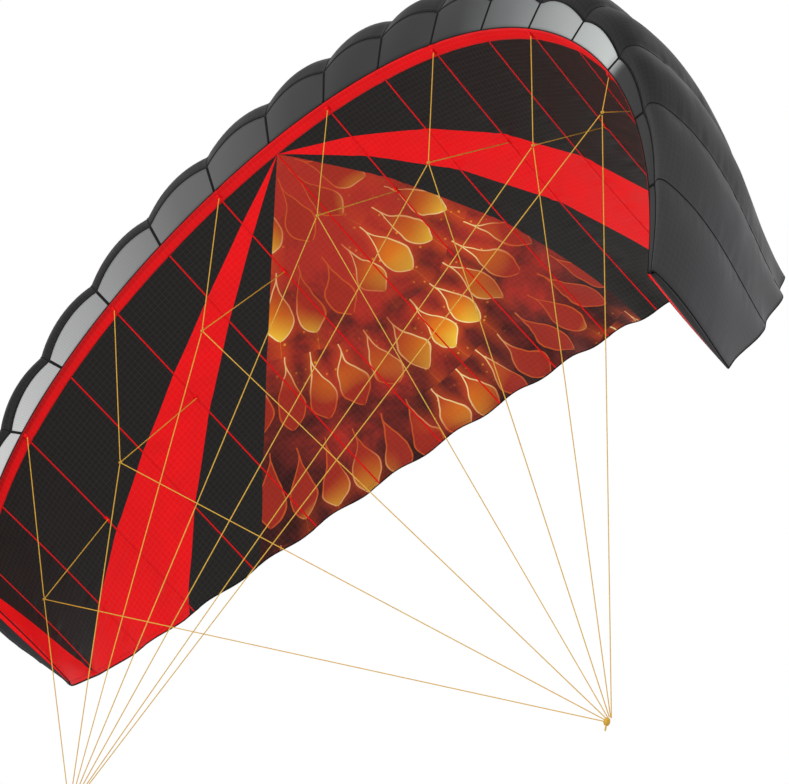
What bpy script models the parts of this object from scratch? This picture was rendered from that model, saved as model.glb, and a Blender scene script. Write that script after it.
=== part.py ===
"""A two-line foil kite in flight: two ballooned skins over nineteen ribs, gauze across
the air inlets, red edge bands, and a bridle of taut lines down to two tow knots.

The kite is laid out in its own kite frame (X along the span, Y aft along the chord,
Z away from the lines) and then placed in the part's frame: pitched nose up, with the
origin midway between the two tow knots. Metres throughout.
"""
import math

import bmesh
import bpy
from mathutils import Matrix, Vector

# ---------------------------------------------------------------- driving sizes
CELLS = 18                       # cells across the span, so 19 ribs
SPAN = 1.40                      # flat span along the lower skin
CHORD = 0.40                     # lower skin's chord at the middle rib
TIP_SHARE = 0.32                 # tip chord over middle chord
TAPER_POWER = 2.1                # how late along the span the chord tapers

CLOTH = 0.0012                   # thickness of both skins
STRIP = 0.0010                   # thickness of gauze, bands and ribs
GAP = 0.0003                     # clearance between pieces that touch
SEAM = 2 * CLOTH + GAP           # both skins lying together at the trailing edge

BAND = 0.0135                    # width of the red front band
LINE = 0.0012                    # bridle line diameter
KNOT = 0.0046                    # bridle knot diameter
TOW_KNOT = 0.0085                # tow knot diameter
FAN = 21                         # degrees between neighbouring lines at the tow knot

PITCH = math.radians(45)         # nose-up pitch of the kite in the part's frame

# The arch: how far the skin leans at the tip, how much later it does so than on a
# circle, and how much more the left half leans than the right in the turn.
ARCH_LEAN = math.radians(115.5)
ARCH_LATE = math.radians(40)
ARCH_TURN = math.radians(-9)

# The front edge's sweep aft over the half-span share v: even terms, then the yaw
# that the turn puts into the wing, which fades towards the tips.
SWEEP_2, SWEEP_4 = 0.033, 0.025
YAW_1, YAW_3 = -0.129, 0.100

# Tow knots in the kite frame: the right one is pulled, so it lies lower and further out.
TOW = {"left": Vector((-0.262, 0.164, -0.678)), "right": Vector((0.310, 0.230, -0.740))}
ORIGIN = (TOW["left"] + TOW["right"]) / 2

# Upper profile from the inlet's lip to the trailing edge, in shares of the chord.
UPPER = (  # along, height
    (-0.026, 0.087),
    (-0.025, 0.112),
    (-0.018, 0.148),
    (0.010, 0.178),
    (0.090, 0.206),
    (0.210, 0.221),
    (0.350, 0.210),
    (0.500, 0.174),
    (0.650, 0.123),
    (0.800, 0.067),
    (0.920, 0.024),
    (1.000, 0.000),
)
LOWER = (0.0, None, 0.16, 0.34, 0.54, 0.74, 0.90, 1.0)  # stations along the chord;
                                 # None is the front band's rear edge
LOWER_CAMBER = 0.010             # the lower skin's own belly, in shares of the chord
THIN_AT_TIP = 0.62               # share of the profile's height lost at the tips
THIN_POWER = 1.9                 # and how late along the span it is lost
LIP_DRAWN = (0.016, -0.019)      # how far the lip is drawn in under the nose, in shares
LIP_FROM = 0.667                 # of the chord, at this share of the half-span

PUFF_UPPER = 0.0080              # how far a middle cell balloons above its ribs
PUFF_LOWER = 0.0030              # and below them
SLACK = 0.45                     # share of that lost at the tips
FLUTTER = 0.0035                 # wave of the trailing edge, one for each cell
SPANS = 4                        # mesh spans across a cell

# Bridle: rib, how far aft of the front edge its knot hangs, how far below, and where its
# second leg is sewn on, in shares of the chord.
BRIDLE = (  # rib, aft, drop, second
    (-6, 0.088, 0.150, 0.475),
    (-4, 0.071, 0.157, 0.405),
    (-2, 0.034, 0.166, 0.300),
    (0, 0.030, 0.132, 0.310),
    (2, 0.035, 0.132, 0.345),
    (4, 0.040, 0.122, 0.375),
    (6, 0.004, 0.052, 0.180),
)

COLOURS = {                      # linear base colour, roughness
    "black_cloth": ((0.024, 0.023, 0.022), 0.55),
    "grey_cloth": ((0.060, 0.058, 0.060), 0.55),
    "red_cloth": ((0.768, 0.014, 0.018), 0.50),
    "gauze": ((0.300, 0.300, 0.300), 0.70),
    "line": ((0.700, 0.360, 0.045), 0.45),
}


# ---------------------------------------------------------------- the wing's shape
def lean(v):
    """Angle of the skin from level at half-span share v, from -1 to 1."""
    return ARCH_LEAN * v + ARCH_LATE * (v ** 3 - v) + ARCH_TURN * v * v


def walk_arch(v, steps=240):
    """Follow the arch from the middle rib out to v."""
    x = z = 0.0
    step = v / steps
    for i in range(steps):
        angle = lean((i + 0.5) * step)
        x += math.cos(angle) * step * SPAN / 2
        z -= math.sin(angle) * step * SPAN / 2
    return x, z


def chord(v):
    return CHORD * (1 - (1 - TIP_SHARE) * abs(v) ** TAPER_POWER)


def front(v):
    return SWEEP_2 * v ** 2 + SWEEP_4 * v ** 4 + YAW_1 * v + YAW_3 * v ** 3


def depth(v):
    return 1 - THIN_AT_TIP * abs(v) ** THIN_POWER


class Station:
    """One line across the wing: a rib, or a share of the cell beside it."""

    def __init__(self, cell, share):
        low = cell - CELLS // 2
        self.v = 2 * (low + share) / CELLS
        angle = lean(self.v)
        x, z = walk_arch(self.v)
        self.base = Vector((x, 0, z))
        self.up = Vector((math.sin(angle), 0, math.cos(angle)))
        self.across = Vector((math.cos(angle), 0, -math.sin(angle)))
        self.puff = 4 * share * (1 - share) * (1 - SLACK * self.v ** 2)
        self.wave = math.sin(2 * math.pi * share)
        self.chord = chord(self.v)
        self.front = front(self.v)

    def point(self, along, height):
        """along and height are in metres from the front edge of the lower skin."""
        return self.base + Vector((0, self.front + along, 0)) + self.up * height

    def flutter(self, along):
        """The trailing edge's wave, which both skins share."""
        share = max(0.0, (along / self.chord - 0.74) / 0.26)
        return self.wave * FLUTTER * share ** 1.5


STATIONS = [Station(i // SPANS, (i % SPANS) / SPANS) for i in range(CELLS * SPANS + 1)]


def upper_profile(v):
    """The upper skin's outer face at v: (along, height, along normal, up normal)."""
    drawn = min(1.3, (abs(v) / LIP_FROM) ** 3)
    lip = (UPPER[0][0] + LIP_DRAWN[0] * drawn, UPPER[0][1] + LIP_DRAWN[1] * drawn)
    points = [(a * chord(v), h * chord(v) * depth(v) + SEAM) for a, h in (lip,) + UPPER[1:]]
    rows = []
    for i, (along, height) in enumerate(points):
        before, after = points[max(i - 1, 0)], points[min(i + 1, len(points) - 1)]
        run, rise = after[0] - before[0], after[1] - before[1]
        size = math.hypot(run, rise)
        rows.append((along, height, -rise / size, run / size))
    return rows


def upper_point(station, row, share):
    """The upper skin's outer face; a lip has nothing in front of it, so it arches up."""
    along, height, out_along, out_up = row
    puff = PUFF_UPPER * station.puff * min(1.0, 2.2 * (1 - share))
    rise = max(out_up, 0.7)
    ahead = math.copysign(math.sqrt(max(0.0, 1 - rise ** 2)), out_along)
    return station.point(along + ahead * puff,
                         height + rise * puff + station.flutter(along))


def lower_share(station, row):
    share = LOWER[row]
    return BAND / station.chord if share is None else share


def lower_point(station, share, below=0.0):
    along = share * station.chord
    belly = LOWER_CAMBER * station.chord * math.sin(math.pi * share)
    puff = PUFF_LOWER * station.puff * math.sin(math.pi * share) ** 0.7 if 0 < share < 1 else 0.0
    return station.point(along, station.flutter(along) - belly - puff - below)


# ---------------------------------------------------------------- from kite to part
def place(point):
    """From the kite frame to the part's frame."""
    return Matrix.Rotation(-PITCH, 3, "X") @ (point - ORIGIN)


def material(name):
    made = bpy.data.materials.get(name)
    if made is None:
        (red, green, blue), rough = COLOURS[name]
        made = bpy.data.materials.new(name)
        made.use_nodes = True
        shader = made.node_tree.nodes["Principled BSDF"]
        shader.inputs["Base Color"].default_value = (red, green, blue, 1)
        shader.inputs["Roughness"].default_value = rough
        shader.inputs["Metallic"].default_value = 0.0
    return made


def add_object(name, mesh, finish, smooth=30):
    piece = bpy.data.objects.new(name, mesh)
    bpy.context.scene.collection.objects.link(piece)
    piece.data.materials.append(material(finish))
    if smooth:
        mesh.shade_smooth()
        mesh.set_sharp_from_angle(angle=math.radians(smooth))
    return piece


def sheet(name, rows, thickness, finish):
    """A closed sheet from rows of outer points: the inner face lies one thickness
    along the surface's normal, on the side that (column step) x (row step) points to."""
    normals = []
    for i, row in enumerate(rows):
        line = []
        for j in range(len(row)):
            across = row[min(j + 1, len(row) - 1)] - row[max(j - 1, 0)]
            along = rows[min(i + 1, len(rows) - 1)][j] - rows[max(i - 1, 0)][j]
            line.append(across.cross(along).normalized())
        normals.append(line)
    bm = bmesh.new()
    outer = [[bm.verts.new(place(p)) for p in row] for row in rows]
    inner = [[bm.verts.new(place(p + n * thickness)) for p, n in zip(row, line)]
             for row, line in zip(rows, normals)]
    last_row, last_col = len(rows) - 1, len(rows[0]) - 1
    for i in range(last_row):
        for j in range(last_col):
            bm.faces.new((outer[i][j], outer[i][j + 1], outer[i + 1][j + 1], outer[i + 1][j]))
            bm.faces.new((inner[i][j], inner[i + 1][j], inner[i + 1][j + 1], inner[i][j + 1]))
    for j in range(last_col):
        bm.faces.new((outer[0][j], inner[0][j], inner[0][j + 1], outer[0][j + 1]))
        bm.faces.new((outer[last_row][j + 1], inner[last_row][j + 1],
                      inner[last_row][j], outer[last_row][j]))
    for i in range(last_row):
        bm.faces.new((outer[i + 1][0], inner[i + 1][0], inner[i][0], outer[i][0]))
        bm.faces.new((outer[i][last_col], inner[i][last_col],
                      inner[i + 1][last_col], outer[i + 1][last_col]))
    bmesh.ops.recalc_face_normals(bm, faces=bm.faces)
    mesh = bpy.data.meshes.new(name)
    bm.to_mesh(mesh)
    bm.free()
    return add_object(name, mesh, finish)


# ---------------------------------------------------------------- cloth pieces
def upper_skin():
    shares = [max(0.0, a) for a, _ in UPPER]
    rows = []
    for i, share in enumerate(shares):
        rows.append([upper_point(s, upper_profile(s.v)[i], share) for s in reversed(STATIONS)])
    return sheet("upper_skin", rows, CLOTH, "grey_cloth")


def lower_skin():
    rows = [[lower_point(s, lower_share(s, row)) for s in STATIONS] for row in range(len(LOWER))]
    return sheet("lower_skin", rows, CLOTH, "black_cloth")


def lip_end(station):
    """The end of the gauze below the upper skin's lip, and the start at the lower skin."""
    rows = upper_profile(station.v)
    lip = upper_point(station, rows[0], 0.0)
    rise = (upper_point(station, rows[1], 0.0) - lip).normalized()
    aft = Vector((0, 1, 0))
    inward = (aft - rise * aft.dot(rise)).normalized()
    top = lip + inward * CLOTH * 0.5 - rise * (GAP + STRIP)
    bottom = station.point(-GAP - 0.5 * STRIP, CLOTH * 0.5)
    return bottom, top


def inlet_gauze():
    rows = []
    for share in (0.0, 0.5, 1.0):
        row = []
        for station in reversed(STATIONS):
            bottom, top = lip_end(station)
            facing = station.across.cross(top - bottom).normalized()
            swell = PUFF_LOWER * 0.5 * station.puff * 4 * share * (1 - share)
            row.append(bottom.lerp(top, share) + facing * (STRIP / 2 + swell))
        rows.append(row)
    return sheet("inlet_gauze", rows, STRIP, "gauze")


def front_band():
    offset = GAP + STRIP
    rows = [[lower_point(s, lower_share(s, row), offset) for s in STATIONS] for row in (0, 1)]
    return sheet("front_band", rows, STRIP, "red_cloth")


def tip_band(side):
    """The red strip along a tip edge, behind the front band."""
    cell, outer, inner = (0, 0.0, 0.19) if side == "left" else (CELLS - 1, 1.0, 0.81)
    shares = [(BAND + 4 * GAP) / chord(1)] + list(LOWER[2:])
    edges = sorted((outer, inner))
    rows = [[tip_point(cell, e, share) for e in edges] for share in shares]
    return sheet(f"tip_band_{side}", rows, STRIP, "red_cloth")


def tip_point(cell, edge, share):
    """A point below the lower skin's mesh face at a share of a tip cell."""
    step = 1 / SPANS
    low = min(int(edge / step), SPANS - 1)
    ends = [lower_point(Station(cell, k * step), share, GAP + STRIP) for k in (low, low + 1)]
    return ends[0].lerp(ends[1], (edge - low * step) / step)


def rib(number):
    """A flat profile plate between the skins' inner faces, just behind the gauze."""
    index = number - 1
    station = STATIONS[index * SPANS]
    clear = CLOTH + 1.5 * GAP
    rows = upper_profile(station.v)[:-1]
    top = [(a - na * clear, h - nu * clear) for a, h, na, nu in rows]
    lip, rise = Vector(rows[0][:2]), Vector(rows[1][:2]) - Vector(rows[0][:2])
    rise.normalize()
    gauze_foot = Vector((-GAP - 0.5 * STRIP, CLOTH * 0.5))
    gauze_head = lip + Vector((rise.y, -rise.x)) * CLOTH * 0.5 - rise * (GAP + STRIP)
    slope = (gauze_head - gauze_foot).normalized()
    heel = gauze_head + Vector((slope.y, -slope.x)) * (STRIP / 2 + 1.5 * GAP)
    tail = (rows[-1][0], 0.0)
    bottom = [(0.0012, clear)]
    for share in LOWER[2:-1] + (UPPER[-2][0],):
        if share * station.chord <= tail[0]:
            belly = LOWER_CAMBER * station.chord * math.sin(math.pi * share)
            bottom.append((share * station.chord, clear - belly))
    outline = bottom + list(reversed(top)) + [(heel.x, heel.y)]
    inboard = {0: 0.0, CELLS: -STRIP}.get(index, -STRIP / 2)
    bm = bmesh.new()
    near, far = ([bm.verts.new(place(station.point(a, h) + station.across * shift))
                  for a, h in outline] for shift in (inboard, inboard + STRIP))
    bm.faces.new(near)
    bm.faces.new(reversed(far))
    for i in range(len(outline)):
        j = (i + 1) % len(outline)
        bm.faces.new((near[j], near[i], far[i], far[j]))
    bmesh.ops.recalc_face_normals(bm, faces=bm.faces)
    mesh = bpy.data.meshes.new(f"rib_{number:02d}")
    bm.to_mesh(mesh)
    bm.free()
    return add_object(f"rib_{number:02d}", mesh, "black_cloth", smooth=0)


# ---------------------------------------------------------------- bridle
def tube(name, points, radii):
    """A line as a capped tube; radii swell where a knot is tied into it."""
    curve = bpy.data.curves.new(name, "CURVE")
    curve.dimensions = "3D"
    curve.bevel_depth = 1.0
    curve.bevel_resolution = 2
    curve.use_fill_caps = True
    spline = curve.splines.new("POLY")
    spline.points.add(len(points) - 1)
    for target, point, radius in zip(spline.points, points, radii):
        target.co = (*place(point), 1)
        target.radius = radius
    piece = bpy.data.objects.new(name, curve)
    bpy.context.scene.collection.objects.link(piece)
    curve.materials.append(material("line"))
    return piece


def bridle_points(index):
    """Where a bridle's two legs are sewn on, and its knot, in the kite frame."""
    number, aft, drop, share = BRIDLE[index]
    station = STATIONS[(number + CELLS // 2) * SPANS]
    skin = LINE / 2 + GAP
    first = lower_point(station, 0.018, STRIP + 2 * GAP + skin)
    second = lower_point(station, share, skin)
    knot = station.point(aft, 0) - Vector((0, 0, drop))
    return first, knot, second


def bridle(index):
    first, knot, second = bridle_points(index)
    reach = KNOT * 0.75
    to_first = (first - knot).normalized()
    to_second = (second - knot).normalized()
    points = [first, knot + to_first * reach, knot, knot + to_second * reach, second]
    thin, fat = LINE / 2, KNOT / 2
    return tube(f"bridle_{index + 1}", points, [thin, thin, fat, thin, thin])


def main_line(index, side):
    """A taut line from a bridle knot to a tow knot, clear of both by the gap."""
    knot = bridle_points(index)[1]
    fan = math.radians(FAN * (index - (len(BRIDLE) - 1) / 2))
    entry = Vector((math.sin(fan), 0, math.cos(fan)))
    end = TOW[side] + entry * (TOW_KNOT / 2 + GAP + LINE / 3)
    start = knot + (end - knot).normalized() * (KNOT / 2 + GAP)
    return tube(f"line_{index + 1}_{side}", [start, end], [LINE / 2] * 2)


def tow_knot(side):
    """A knot that gathers seven lines, with a short thick tail whose end is cut flat."""
    profile = (  # radius, depth below the knot's middle
        (0.0, -0.50), (0.25, -0.43), (0.43, -0.25), (0.50, 0.0), (0.43, 0.25),
        (0.30, 0.42), (0.273, 0.60), (0.273, 1.25), (0.0, 1.25),
    )
    bm = bmesh.new()
    points = [bm.verts.new(Vector((r * TOW_KNOT, 0, -d * TOW_KNOT))) for r, d in profile]
    edges = [bm.edges.new(pair) for pair in zip(points, points[1:])]
    bmesh.ops.spin(bm, geom=points + edges, cent=(0, 0, 0), axis=(0, 0, 1),
                   angle=2 * math.pi, steps=12, use_merge=True)
    bmesh.ops.remove_doubles(bm, verts=bm.verts, dist=1e-6)
    bmesh.ops.recalc_face_normals(bm, faces=bm.faces)
    for vert in bm.verts:
        vert.co = place(vert.co + TOW[side])
    mesh = bpy.data.meshes.new(f"tow_knot_{side}")
    bm.to_mesh(mesh)
    bm.free()
    return add_object(f"tow_knot_{side}", mesh, "line", smooth=50)


# ---------------------------------------------------------------- build
def main():
    for old in list(bpy.data.objects):
        bpy.data.objects.remove(old)
    upper_skin()
    lower_skin()
    inlet_gauze()
    front_band()
    for side in ("left", "right"):
        tip_band(side)
    for number in range(1, CELLS + 2):
        rib(number)
    for index in range(len(BRIDLE)):
        bridle(index)
        for side in ("left", "right"):
            main_line(index, side)
    for side in ("left", "right"):
        tow_knot(side)


main()
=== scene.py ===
# %% [markdown]
# # A two-line foil kite, dressed
#
# A foil kite has no spars. Two cloth skins are held apart by sewn ribs, the wind blows in
# through gauze along the front, and the pressure holds the wing open. Seven bridles are
# sewn to the lower skin, and from each a line runs to either of two tow knots. The frame
# loaded here holds plain solids of all this. Each step lays a finer piece over some of
# them, in the same metres.

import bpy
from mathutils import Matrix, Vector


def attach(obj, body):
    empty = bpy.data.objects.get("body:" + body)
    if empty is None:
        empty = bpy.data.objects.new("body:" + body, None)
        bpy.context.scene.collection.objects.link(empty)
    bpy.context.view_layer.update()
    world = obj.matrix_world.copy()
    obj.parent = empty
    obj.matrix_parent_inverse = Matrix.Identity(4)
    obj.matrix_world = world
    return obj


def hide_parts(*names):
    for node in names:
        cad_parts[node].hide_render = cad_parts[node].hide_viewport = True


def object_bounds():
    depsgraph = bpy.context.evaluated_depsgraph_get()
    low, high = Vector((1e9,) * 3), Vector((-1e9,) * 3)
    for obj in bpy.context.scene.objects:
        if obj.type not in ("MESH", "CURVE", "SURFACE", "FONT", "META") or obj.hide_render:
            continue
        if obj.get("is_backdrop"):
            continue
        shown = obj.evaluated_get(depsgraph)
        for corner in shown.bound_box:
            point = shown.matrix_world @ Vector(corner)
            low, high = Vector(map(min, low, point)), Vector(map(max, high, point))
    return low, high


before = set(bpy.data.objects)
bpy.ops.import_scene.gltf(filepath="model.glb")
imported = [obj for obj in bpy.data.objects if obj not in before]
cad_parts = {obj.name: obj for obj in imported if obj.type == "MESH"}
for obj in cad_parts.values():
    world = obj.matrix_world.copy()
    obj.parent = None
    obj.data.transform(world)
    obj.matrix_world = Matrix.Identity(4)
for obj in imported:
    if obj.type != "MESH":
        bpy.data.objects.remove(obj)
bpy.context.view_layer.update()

# %% [markdown]
# ## The wing's measures
#
# Everything sewn to the wing needs the same shape, so the shape is a set of short laws
# rather than a sculpted mesh: how far the skin leans at each place along the span, how
# long its chord is, and how its front edge sweeps. They are the laws of the solids.

# %% Sizes in metres, angles in radians
import math

import bpy
import numpy as np
from mathutils import Matrix, Vector

CELLS = 18                 # pockets between the 19 ribs
HALF = CELLS // 2          # ribs to each side of the middle one
SPAN = 1.40                # along the flat lower skin
HALF_SPAN = SPAN / 2
CHORD, TIP_SHARE, TAPER = 0.40, 0.32, 2.1          # in the middle, and how it narrows
# How far a tip leans, how much of that comes late, and how much less on the right
LEAN, LATE, TURN = math.radians(115.5), math.radians(40), math.radians(-9)
SWEEP, YAW = (0.033, 0.025), (-0.129, 0.100)       # of the front edge, and of the turn
BELLY = 0.010              # of the lower skin, in shares of the chord
THIN, THIN_POWER = 0.62, 1.9                       # how the section thins towards the tips
PUFF_UPPER, PUFF_LOWER = 0.0080, 0.0030            # how far a middle cell balloons
SLACK, FLUTTER = 0.45, 0.0035                      # less at the tips; the trailing edge's wave
BAND = 0.0135              # width of the red edge bands
TOW = {"left": (-0.262, 0.164, -0.678), "right": (0.310, 0.230, -0.740)}
MIDDLE = (np.array(TOW["left"]) + np.array(TOW["right"])) / 2
SLANT = math.sqrt(0.5)     # sine and cosine of the 45 degrees that the nose is pitched up
TO_PART = np.array([[1, 0, 0], [0, SLANT, SLANT], [0, -SLANT, SLANT]])


def chord(v):
    return CHORD * (1 - (1 - TIP_SHARE) * np.abs(v) ** TAPER)


def front(v):
    return SWEEP[0] * v ** 2 + SWEEP[1] * v ** 4 + YAW[0] * v + YAW[1] * v ** 3


def depth(v):
    return 1 - THIN * np.abs(v) ** THIN_POWER


def lean(v):
    return LEAN * v + LATE * (v ** 3 - v) + TURN * v * v


def unit(vectors):
    return vectors / np.linalg.norm(vectors, axis=-1, keepdims=True)


def pace(points):
    """How far along a row of points each of them lies."""
    return np.r_[0, np.cumsum(np.linalg.norm(np.diff(points, axis=0), axis=1))]


print("chord in the middle and at a tip", chord(0.0), round(float(chord(1.0)), 4))


# %% Follow the arch from the middle rib out to each tip
def walk_arch(places, steps=240):
    """Where the arch is at each v, in the kite's own frame: across and up."""
    feet = []
    for v in places:
        angles = lean((np.arange(steps) + 0.5) / steps * v)
        step = v / steps * SPAN / 2
        feet.append((np.cos(angles).sum() * step, -np.sin(angles).sum() * step))
    return np.array(feet)


FEET = walk_arch(np.linspace(-1, 1, CELLS + 1))          # under each rib
ARCH_PLACES = np.linspace(-1, 1, CELLS * 20 + 1)
ARCH = walk_arch(ARCH_PLACES)


def to_part(x, y, z):
    """From the kite's own frame (x across, y aft, z away from the lines) to the part's."""
    return (np.stack([x, y, z], -1) - MIDDLE) @ TO_PART.T


def wing(v, along, height):
    """Points at v (-1 to 1 along the span), metres aft and metres off the chord line."""
    v, along, height = np.broadcast_arrays(v, along, height)
    x = np.interp(v, ARCH_PLACES, ARCH[:, 0]) + np.sin(lean(v)) * height
    z = np.interp(v, ARCH_PLACES, ARCH[:, 1]) + np.cos(lean(v)) * height
    return to_part(x, front(v) + along, z)


print("tips", wing(np.array([-1.0, 1.0]), 0.0, 0.0).round(3).tolist())

# %% [markdown]
# ## The camera
#
# The camera stands low and in front, to the kite's right, and looks a little upwards, so
# the sky fills the picture. It is rolled, because the kite is turning. A long lens five
# metres away keeps the near and the far half of the wing in proportion.

# %% Place the camera
LOOK = {"around": 31.41, "above": -7.79, "roll": -16.98}   # degrees
TARGET, DISTANCE, LENS = Vector((0.0016, 0.2893, 0.3390)), 5.0, 239.7   # the lens in mm


def camera_axes(around, above, roll):
    around, above, roll = (math.radians(a) for a in (around, above, roll))
    back = Vector((math.sin(around) * math.cos(above), -math.cos(around) * math.cos(above),
                   math.sin(above)))
    level = Vector((math.cos(around), math.sin(around), 0))
    upright = back.cross(level)
    right = level * math.cos(roll) + upright * math.sin(roll)
    return right, back.cross(right), back


scene = bpy.context.scene
right, up, back = camera_axes(**LOOK)
lens = bpy.data.cameras.new("long_lens")
lens.lens, lens.sensor_width, lens.clip_end = LENS, 36, 50
camera = bpy.data.objects.new("camera", lens)
camera.matrix_world = Matrix((right, up, back)).transposed().to_4x4()
camera.location = TARGET + back * DISTANCE
scene.collection.objects.link(camera)
scene.camera = camera
print("camera at", [round(c, 3) for c in camera.location])

# %% [markdown]
# ## Colours and nodes
#
# Cloth colours are written as the hex values that a dyer's card gives. Blender's shaders
# work in linear light, so one function converts them. One more adds a shader node with
# its settings and links, and every material below is built with it, from a blank one.


# %% Three helpers for materials
def dye(code):
    """An sRGB hex colour as linear values."""
    parts = [int(code[i:i + 2], 16) / 255 for i in (1, 3, 5)]
    return (*(p / 12.92 if p <= 0.04045 else ((p + 0.055) / 1.055) ** 2.4 for p in parts), 1.0)


def add(tree, kind, inputs=None, stops=(), **settings):
    """A new node. Settings are its own, and stops are a colour ramp's places and hex
    colours. Inputs are values, sockets to link, or nodes, whose first output is linked."""
    made = tree.nodes.new("ShaderNode" + kind)
    for key, value in settings.items():
        setattr(made, key, value)
    for key, value in (inputs or {}).items():
        if isinstance(value, bpy.types.Node):
            value = value.outputs[0]
        if isinstance(value, bpy.types.NodeSocket):
            tree.links.new(value, made.inputs[key])
        else:
            made.inputs[key].default_value = value
    while stops and len(made.color_ramp.elements) < len(stops):
        made.color_ramp.elements.new(0.5)
    for i, (place, code) in enumerate(stops):
        stop = made.color_ramp.elements[i]
        stop.position, stop.color = place, dye(code)
    return made


def blank(name, roughness, gloss):
    """A material with its tree emptied but for the shader. gloss is the specular level."""
    made = bpy.data.materials.new(name)
    made.use_nodes = True
    tree = made.node_tree
    tree.nodes.clear()
    shader = add(tree, "BsdfPrincipled", {"Roughness": roughness, "IOR": 1.5,
                                          "Specular IOR Level": gloss})
    add(tree, "OutputMaterial", {"Surface": shader.outputs[0]})
    return made, tree, shader


print("red ripstop in linear light", [round(c, 3) for c in dye("#E31E24")])

# %% [markdown]
# ## The lower skin's face
#
# The lower skin is cut in one piece per cell and sewn to the ribs, so between two ribs it
# bellies a little towards the flyer, and beside each seam the thread draws it into small
# puckers. Soft troughs run out from the places where the bridles pull. The face is a
# formula: anything sewn on asks it for points, and so fits.

# %% Points on the lower skin
RIPPLES = np.random.default_rng(5).uniform(0, 2 * math.pi, (CELLS + 1, 3))


def puckers(v, along, size=0.00045, reach=0.011):
    """Thread puckers beside the seams: small waves along a seam that die out sideways."""
    rib = np.clip((v + 1) * CELLS / 2, 0, CELLS)
    seam = np.round(rib).astype(int)
    away = (rib - seam) * SPAN / CELLS
    wave = sum(np.sin(along / length * 2 * math.pi + RIPPLES[seam, i] + 40 * away)
               for i, length in enumerate((0.0125, 0.0205, 0.034)))
    fade = np.exp(-(away / reach) ** 2) * (1 - np.exp(-(away / 0.002) ** 2))
    return size * wave * fade


FIRST_LEG = 0.018          # where each bridle's first leg is sewn on, in shares of the chord
BRIDLE = (  # rib, the knot's place aft of the front edge and below it, second leg's share
    (-6, 0.088, 0.150, 0.475),
    (-4, 0.071, 0.157, 0.405),
    (-2, 0.034, 0.166, 0.300),
    (0, 0.030, 0.132, 0.310),
    (2, 0.035, 0.132, 0.345),
    (4, 0.040, 0.122, 0.375),
    (6, 0.004, 0.052, 0.180),
)
SEWN = [(row[0] / HALF, share) for row in BRIDLE for share in (FIRST_LEG, row[3])]


def creases(v, share, size=0.0009, reach=0.048):
    """Soft troughs that run out from each place where a bridle pulls on the skin."""
    total = 0.0
    for v0, share0 in SEWN:
        across, aft = (v - v0) * SPAN / 2, (share - share0) * chord(v0)
        away = np.hypot(across, aft)
        rays = (1 - np.cos(6 * np.arctan2(across, aft))) / 2
        total = total + rays * away / (away + 0.008) * np.exp(-(away / reach) ** 2)
    return size * total


def seam_wave(v):
    share = np.clip((v + 1) * CELLS / 2, 0, CELLS)
    share = share - np.minimum(np.floor(share), CELLS - 1)
    return share, np.sin(2 * math.pi * share)


def fullness(v):
    """How far a cell balloons at v: 0 on the ribs, 1 in the middle of a middle cell."""
    share, _ = seam_wave(v)
    return 4 * share * (1 - share) * (1 - SLACK * v ** 2)


def flutter(v, share):
    """The trailing edge's wave, which both skins share."""
    return FLUTTER * seam_wave(v)[1] * np.clip((share - 0.74) / 0.26, 0, None) ** 1.5


def lower_face(v, share, lift=0.0):
    """The lower skin's outer face at v and a share of the chord; lift is towards the flyer."""
    v, share = np.broadcast_arrays(np.asarray(v, float), np.asarray(share, float))
    inside = np.clip(share, 0, 1)
    puff = PUFF_LOWER * fullness(v) * np.sin(math.pi * inside) ** 0.7
    belly = BELLY * chord(v) * np.sin(math.pi * inside)
    height = flutter(v, share) - belly - puff - lift
    height = height + puckers(v, share * chord(v)) + creases(v, share)
    return wing(v, share * chord(v), height)


def on_lower(v, share, lift=0.0):
    """Points lifted off the lower skin along its own normal, towards the flyer."""
    v, share, lift = np.broadcast_arrays(*(np.asarray(a, float) for a in (v, share, lift)))
    across = lower_face(v + 2e-3, share) - lower_face(v - 2e-3, share)
    aft = lower_face(v, share + 2e-3) - lower_face(v, share - 2e-3)
    return lower_face(v, share) + unit(np.cross(aft, across)) * lift[..., None]


print("lower skin's middle", lower_face(0.0, 0.5).round(4).tolist())


# %% Pieces: a mesh from a grid of points, sewn on, with its thickness
CLOTH_THICK, NET_THICK, TAPE_THICK = 0.0004, 0.0003, 0.0003


def sew(name, mesh, cloth, slot, *nodes):
    """Make a piece that rides with the kite and stands for these nodes."""
    piece = bpy.data.objects.new(name, mesh)
    scene.collection.objects.link(piece)
    mesh.materials.append(cloth)
    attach(piece, "root")
    if nodes:
        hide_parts(*nodes)
    return piece


def grid_mesh(name, points, charts):
    """A sheet of quads through rows of points; charts are UV layers of the same shape."""
    rows, columns = points.shape[:2]
    index = np.arange(rows * columns).reshape(rows, columns)
    quads = np.stack([index[:-1, :-1], index[:-1, 1:], index[1:, 1:], index[1:, :-1]], -1)
    quads = quads.reshape(-1, 4)
    mesh = bpy.data.meshes.new(name)
    mesh.from_pydata(points.reshape(-1, 3).tolist(), [], quads.tolist())
    for layer, chart in charts.items():
        corners = chart.reshape(-1, 2)[quads.ravel()]
        mesh.uv_layers.new(name=layer).data.foreach_set("uv", corners.ravel())
    mesh.shade_smooth()
    return mesh


def thicken(piece, thickness):
    """Ripstop is thinner than this; a sheet or strip is as thin as it can be and closed."""
    solid = piece.modifiers.new("cloth_thickness", "SOLIDIFY")
    solid.thickness, solid.offset = thickness, -1
    return piece


def lay(name, points, charts, cloth, slot, *nodes, thickness=CLOTH_THICK):
    """Sew on a cloth that lies on a grid of points and stands for these nodes."""
    return thicken(sew(name, grid_mesh(name, points, charts), cloth, slot, *nodes), thickness)


print("cloth", CLOTH_THICK * 1000, "mm thick")

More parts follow.
